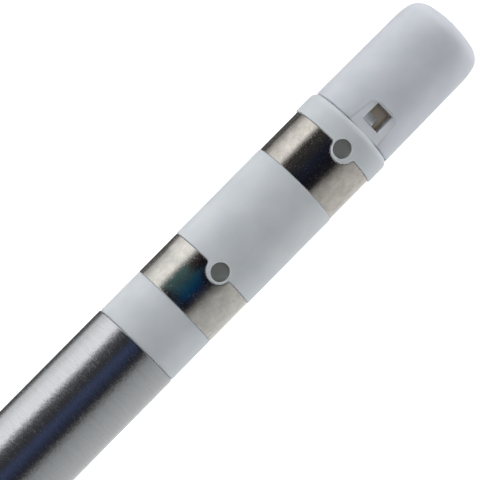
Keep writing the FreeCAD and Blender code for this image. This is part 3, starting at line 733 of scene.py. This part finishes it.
def makeCap():
    look = capLook
    shell = bmesh.new()
    capProfile(shell)
    turnProfile(shell, look["segments"])
    flat = bmesh.new()
    box(flat, (-look["flatLength"], -look["flatHalfWidth"], look["flatHeight"]),
        (look["flatLength"], look["flatHalfWidth"], look["mouth"] + past))
    inner = [e for e in flat.edges if min(v.co.x for v in e.verts) > 0
             and abs(e.verts[0].co.z - e.verts[1].co.z) > close]
    bmesh.ops.bevel(flat, geom=inner, offset=look["flatCorner"], offset_type="OFFSET", affect="EDGES",
                    segments=look["flatSteps"], profile=0.5, material=-1, clamp_overlap=True)
    bmesh.ops.rotate(flat, verts=flat.verts, cent=(look["flatLength"] / 2, 0, look["flatHeight"]),
                     matrix=Matrix.Rotation(math.radians(-look["flatFall"]), 3, "Y"))
    window = bmesh.new()
    box(window, (look["windowStart"], -look["windowWidth"] / 2, 0),
        (look["windowStart"] + look["windowLength"], look["windowWidth"] / 2, look["mouth"] + 2 * past))
    bm = combine(shell, [("DIFFERENCE", flat), ("DIFFERENCE", window)])
    place = Matrix.Translation((axis["seam"], 0, 0)) @ Matrix.Rotation(math.radians(look["turn"]), 4, "X")
    bmesh.ops.transform(bm, matrix=place, verts=bm.verts)
    plastic = mouldedPlastic("capPlastic", plasticLook["cap"])
    finishPiece("clipOnCap", bm, plastic, "end_cap", sharp=20)


bitShape = {
    "tip": 0.5, "tipRound": 0.3, "cone": 8.5, "radius": 2.3, "coneRound": 0.8,
    "flange": 2.58, "flangeLength": 1.0, "flangeEdge": 0.1, "bore": 1.6, "boreReach": 6.0,
    "segments": 160,
}


def makeBit():
    look = bitShape
    tip, front, rear = axis["bitTip"], axis["tubeFront"], axis["bitRear"]
    shank = tubeRadius - tubeLook["wall"]
    coneEnd = tip + look["cone"]
    flangeStart, boreEnd = front - look["flangeLength"], front - look["boreReach"]
    bm = bmesh.new()
    roundProfile(
        bm, (tip, 0),
        [
            (tip, look["tip"]), (coneEnd, look["radius"]), (flangeStart, look["radius"]),
            (flangeStart, look["flange"]), (front, look["flange"]), (front, shank),
            (rear, shank), (rear, look["bore"]), (boreEnd, look["bore"]), (boreEnd, 0),
        ],
        [
            (tip, look["tip"], look["tipRound"]), (coneEnd, look["radius"], look["coneRound"]),
            (flangeStart, look["flange"], look["flangeEdge"]), (front, look["flange"], look["flangeEdge"]),
        ],
    )
    turnProfile(bm, look["segments"])
    finishPiece("platedBit", bm, platedBit(), "bit")


def dressInnerNodes():
    record = frame["record"]
    slotOf = {part["node"]: part["material_slot"] for part in record["subparts"]}
    made = {slot: innerMaterial(slot, look) for slot, look in innerLook.items()}
    for name, slot in slotOf.items():
        if slot in made:
            for place in nodes[name].material_slots:
                place.material = made[slot]


# Studio

viewLook = {
    "aim": (8.14, 0.0, 0.0),  # mm, the point in the middle of the picture
    "tipBack": 4.1,  # degrees from square to the axis, towards the bit
    "roll": 10.1,  # degrees round the axis from +Z towards +Y
    "slope": 45.35,  # degrees that the axis climbs in the picture
    "distance": 190.0, "nearest": 10.0,  # mm, to the middle of the picture, and to the first thing seen
    "lens": 259.0, "sensor": 36.0,
}


def placeCamera():
    look = viewLook
    tip, roll = math.radians(look["tipBack"]), math.radians(look["roll"])
    back = Vector((-math.sin(tip), math.cos(tip) * math.sin(roll), math.cos(tip) * math.cos(roll)))
    along = Vector((1, 0, 0)) - back * back.x
    along.normalize()
    across = back.cross(along)
    slope = math.radians(look["slope"])
    right = along * math.cos(slope) - across * math.sin(slope)
    up = along * math.sin(slope) + across * math.cos(slope)
    turn = Matrix((right, up, back)).transposed().to_4x4()
    data = bpy.data.cameras.new("studioCamera")
    data.lens, data.sensor_width, data.clip_start = look["lens"], look["sensor"], look["nearest"] * mm
    camera = bpy.data.objects.new("studioCamera", data)
    camera.matrix_world = Matrix.Translation((Vector(look["aim"]) + back * look["distance"]) * mm) @ turn
    scene.collection.objects.link(camera)
    scene.camera = camera


lampLook = {
    # name: degrees round the axis from +Z towards +Y, degrees from there towards +X,
    # distance, width and length in metres, power in watts
    "leftSoftbox": (75, 0, 0.5, 0.22, 0.6, 2.03),
    "rightSoftbox": (-78, 0, 0.5, 0.22, 0.6, 1.46),
    "frontSoftbox": (5, 0, 0.5, 0.34, 0.34, 0.44),
    "capSoftbox": (-25, 80, 0.5, 0.25, 0.25, 1.5),
    "bitSoftbox": (0, -84, 0.5, 0.25, 0.25, 1.3),
}


def placeLamps():
    for name, (turn, tilt, distance, width, length, power) in lampLook.items():
        data = bpy.data.lights.new(name, "AREA")
        data.shape, data.size, data.size_y, data.energy = "RECTANGLE", length, width, power
        lamp = bpy.data.objects.new(name, data)
        place = Matrix.Rotation(math.radians(-turn), 3, "X") @ Matrix.Rotation(math.radians(tilt), 3, "Y")
        facing = place.to_4x4()
        lamp.matrix_world = Matrix.Translation(facing @ Vector((0, 0, distance))) @ facing
        lamp.visible_glossy = False  # the tent is what the metal mirrors
        scene.collection.objects.link(lamp)


tentLook = {
    "radius": 9.0, "length": 400.0, "segments": 96,  # mm
    # grey levels that the metal mirrors, in degrees round the axis from the lens: minus is the +Y side
    "levels": [
        (-180, 0.10), (-129, 0.10), (-118, 0.34), (-108, 0.88), (-80, 1.10), (-62, 1.20), (-55, 1.12),
        (-47, 0.36), (-41, 0.11), (-26, 0.055), (14, 0.045), (20, 0.05), (26, 0.13), (31, 0.25),
        (41, 0.42), (78, 0.62), (114, 0.74), (160, 0.86),
    ],
    # what each zone along the tent adds to them, where the zone starts and ends in mm
    "tube": [
        (-100, (0, 0, 0)), (-80, (0.16, 0.16, 0.17)), (-62, (0.13, 0.13, 0.14)),
        (-54, (0.25, 0.25, 0.26)), (-46, (0.22, 0.22, 0.23)), (-38, (0.03, 0.03, 0.04)), (-20, (0, 0, 0)),
        (-5, (0.014, 0.034, 0.12)), (12, (-0.012, -0.008, 0.012)), (20, (-0.01, -0.01, -0.005)),
        (30, (0.01, 0.01, 0.01)), (55, (0.01, 0.025, 0.035)), (80, (0, 0, 0)),
    ],
    "zones": {
        "ringEnd": (2.0, 9.0, [
            (-50, (0, 0, 0)), (-40, (-0.04, -0.05, -0.05)), (-16, (-0.04, -0.04, -0.035)),
            (18, (-0.035, -0.035, -0.03)), (26, (-0.03, -0.03, -0.03)), (34, (0, 0, 0)),
        ]),
        "frontRing": (3.0, 6.2, [
            (-126, (0, 0, 0)), (-115, (-0.28, -0.28, -0.28)), (-102, (-0.3, -0.3, -0.3)),
            (-90, (-0.06, -0.06, -0.06)), (-56, (-0.05, -0.05, -0.05)), (-49, (-0.14, -0.14, -0.14)),
            (-41, (-0.05, 0.03, 0.035)), (-30, (-0.01, 0.03, 0.035)), (-12, (-0.03, 0.02, 0.06)),
            (2, (-0.045, -0.005, 0.065)), (12, (-0.035, -0.028, 0.005)), (26, (0, 0, 0)),
        ]),
        "rearRing": (9.0, 90.0, [
            (-126, (0, 0, 0)), (-112, (-0.48, -0.48, -0.48)), (-100, (-0.44, -0.44, -0.44)),
            (-88, (-0.16, -0.16, -0.16)), (-66, (-0.04, -0.04, -0.04)), (-55, (-0.02, -0.02, -0.02)),
            (-49, (-0.18, -0.18, -0.18)), (-42, (-0.1, -0.1, -0.1)), (-38, (-0.05, -0.05, -0.05)),
            (-28, (-0.02, -0.02, -0.02)), (-6, (-0.035, -0.03, -0.012)), (20, (-0.035, -0.035, -0.03)),
            (30, (-0.17, -0.17, -0.17)), (37, (-0.08, -0.08, -0.08)), (46, (0, 0, 0)),
        ]),
    },
    "edge": 0.25, "slant": 0.075,  # mm that a zone fades over, and how far its ends lean
}


def tentBand(tree, place, stops):
    # a colour ramp over the tent's angle, from -180 to 180 degrees; its colours carry an offset of one half
    entries = [((angle + 180) / 360, tuple(0.5 + c for c in colour) + (1.0,)) for angle, colour in stops]
    ramp = addNode(tree, "ShaderNodeValToRGB", {"Fac": place}, entries)
    return calculateVector(tree, "SUBTRACT", ramp.outputs["Color"], (0.5, 0.5, 0.5)).outputs[0]


def tentShare(tree, along, at):
    # 0 before a place along the tent and 1 after it, with a soft step between
    reach = ((at - tentLook["edge"]) * mm, (at + tentLook["edge"]) * mm)
    return ranged(tree, along, reach, (0.0, 1.0), interpolation_type="SMOOTHSTEP")


def makeTent():
    # a striped light tent round the object that only the metal's reflections see
    bm = bmesh.new()
    bmesh.ops.create_cone(bm, cap_ends=False, segments=tentLook["segments"], radius1=tentLook["radius"] * mm,
                          radius2=tentLook["radius"] * mm, depth=tentLook["length"] * mm,
                          matrix=Matrix.Rotation(math.pi / 2, 4, "Y"))
    tent = looseObject("lightTent", bm)
    tent.visible_camera = tent.visible_diffuse = tent.visible_transmission = tent.visible_shadow = False
    material = bpy.data.materials.new("tentLight")
    material.use_nodes = True
    tree = material.node_tree
    tree.nodes.clear()
    coords = addNode(tree, "ShaderNodeTexCoord")
    split = addNode(tree, "ShaderNodeSeparateXYZ", {"Vector": coords.outputs["Object"]})
    angle = calculate(tree, "ARCTAN2", split.outputs["Y"], split.outputs["Z"])
    roll = math.radians(viewLook["roll"])
    turned = ranged(tree, angle, (roll + math.pi, roll - math.pi), (0.0, 1.0), clamp=False)
    place = calculate(tree, "FRACT", turned)
    brightest = max(level for angle, level in tentLook["levels"])
    levels = [((angle + 180) / 360, (level / brightest,) * 3 + (1.0,)) for angle, level in tentLook["levels"]]
    grey = addNode(tree, "ShaderNodeValToRGB", {"Fac": place}, levels)
    grey = addNode(tree, "ShaderNodeVectorMath", {0: grey.outputs["Color"], "Scale": brightest},
                   operation="SCALE")
    along = calculate(tree, "MULTIPLY_ADD", split.outputs["Y"], tentLook["slant"], split.outputs["X"])
    tint = tentBand(tree, place, tentLook["tube"])
    for start, end, stops in tentLook["zones"].values():
        rise, fall = (tentShare(tree, along, at) for at in (start, end))
        share = calculate(tree, "SUBTRACT", rise, fall)
        tint = addNode(tree, "ShaderNodeMix", {0: share, 4: tint, 5: tentBand(tree, place, stops)},
                       data_type="VECTOR").outputs[1]
    total = calculateVector(tree, "ADD", grey.outputs[0], tint).outputs[0]
    total = calculateVector(tree, "MAXIMUM", total, (0, 0, 0)).outputs[0]
    light = addNode(tree, "ShaderNodeEmission", {"Color": total, "Strength": 1.0})
    addNode(tree, "ShaderNodeOutputMaterial", {"Surface": light.outputs["Emission"]})
    tent.data.materials.append(material)


floorLook = {
    "drop": 0.12, "size": 6.0, "colour": "#EDEDED",  # metres
    "glow": (0.55, 1.0), "glowReach": (0.25, 0.9),  # near and far, and the metres that they hold to
}


def seenDirectly(tree):
    # 1 for rays from the lens, from gloss and through glass, and 0 for those that light the object
    path = addNode(tree, "ShaderNodeLightPath")
    first = calculate(tree, "MAXIMUM", path.outputs["Is Camera Ray"], path.outputs["Is Glossy Ray"])
    return calculate(tree, "MAXIMUM", first, path.outputs["Is Transmission Ray"])


def makeFloor():
    bm = bmesh.new()
    bmesh.ops.create_grid(bm, x_segments=1, y_segments=1, size=floorLook["size"] / 2,
                          matrix=Matrix.Translation((0, 0, -floorLook["drop"])))
    floor = looseObject("paleFloor", bm)
    material = bpy.data.materials.new("paleFloorPaint")
    material.use_nodes = True
    tree = material.node_tree
    tree.nodes.clear()
    matt = addNode(tree, "ShaderNodeBsdfDiffuse", {"Color": fromHex(floorLook["colour"])})
    coords = addNode(tree, "ShaderNodeTexCoord")
    far = calculateVector(tree, "LENGTH", coords.outputs["Object"]).outputs["Value"]
    glowing = ranged(tree, far, floorLook["glowReach"], floorLook["glow"], interpolation_type="SMOOTHSTEP")
    amount = calculate(tree, "MULTIPLY", seenDirectly(tree), glowing)
    glow = addNode(tree, "ShaderNodeEmission", {"Strength": amount})
    both = addNode(tree, "ShaderNodeAddShader", {0: matt.outputs["BSDF"], 1: glow.outputs["Emission"]})
    addNode(tree, "ShaderNodeOutputMaterial", {"Surface": both.outputs["Shader"]})
    floor.data.materials.append(material)


worldLook = {"colour": (1.0, 1.0, 1.0, 1.0), "soft": 0.02}


def makeWorld():
    world = bpy.data.worlds.new("paleStudio")
    scene.world = world
    world.use_nodes = True
    tree = world.node_tree
    tree.nodes.clear()
    level = ranged(tree, seenDirectly(tree), (0.0, 1.0), (worldLook["soft"], 1.0))
    sky = addNode(tree, "ShaderNodeBackground", {"Color": worldLook["colour"], "Strength": level})
    addNode(tree, "ShaderNodeOutputWorld", {"Surface": sky.outputs["Background"]})


placeCamera()
print("camera placed")
makeTube()
makeConnector()
makeRing("frontRing", "front_contact_ring", axis["frontRing"], connectorLook["frontSeat"], 1,
         connectorLook["frontLugSide"], platedRing("frontRingPlate", ringLook["front"]))
makeRing("rearRing", "rear_contact_ring", axis["rearRing"], connectorLook["rearSeat"], -1,
         connectorLook["rearLugSide"], platedRing("rearRingPlate", ringLook["rear"]))
makeCap()
makeBit()
dressInnerNodes()
print("pieces made")
makeWorld()
makeFloor()
placeLamps()
makeTent()
print("studio lit")

scene.view_settings.view_transform = "Standard"
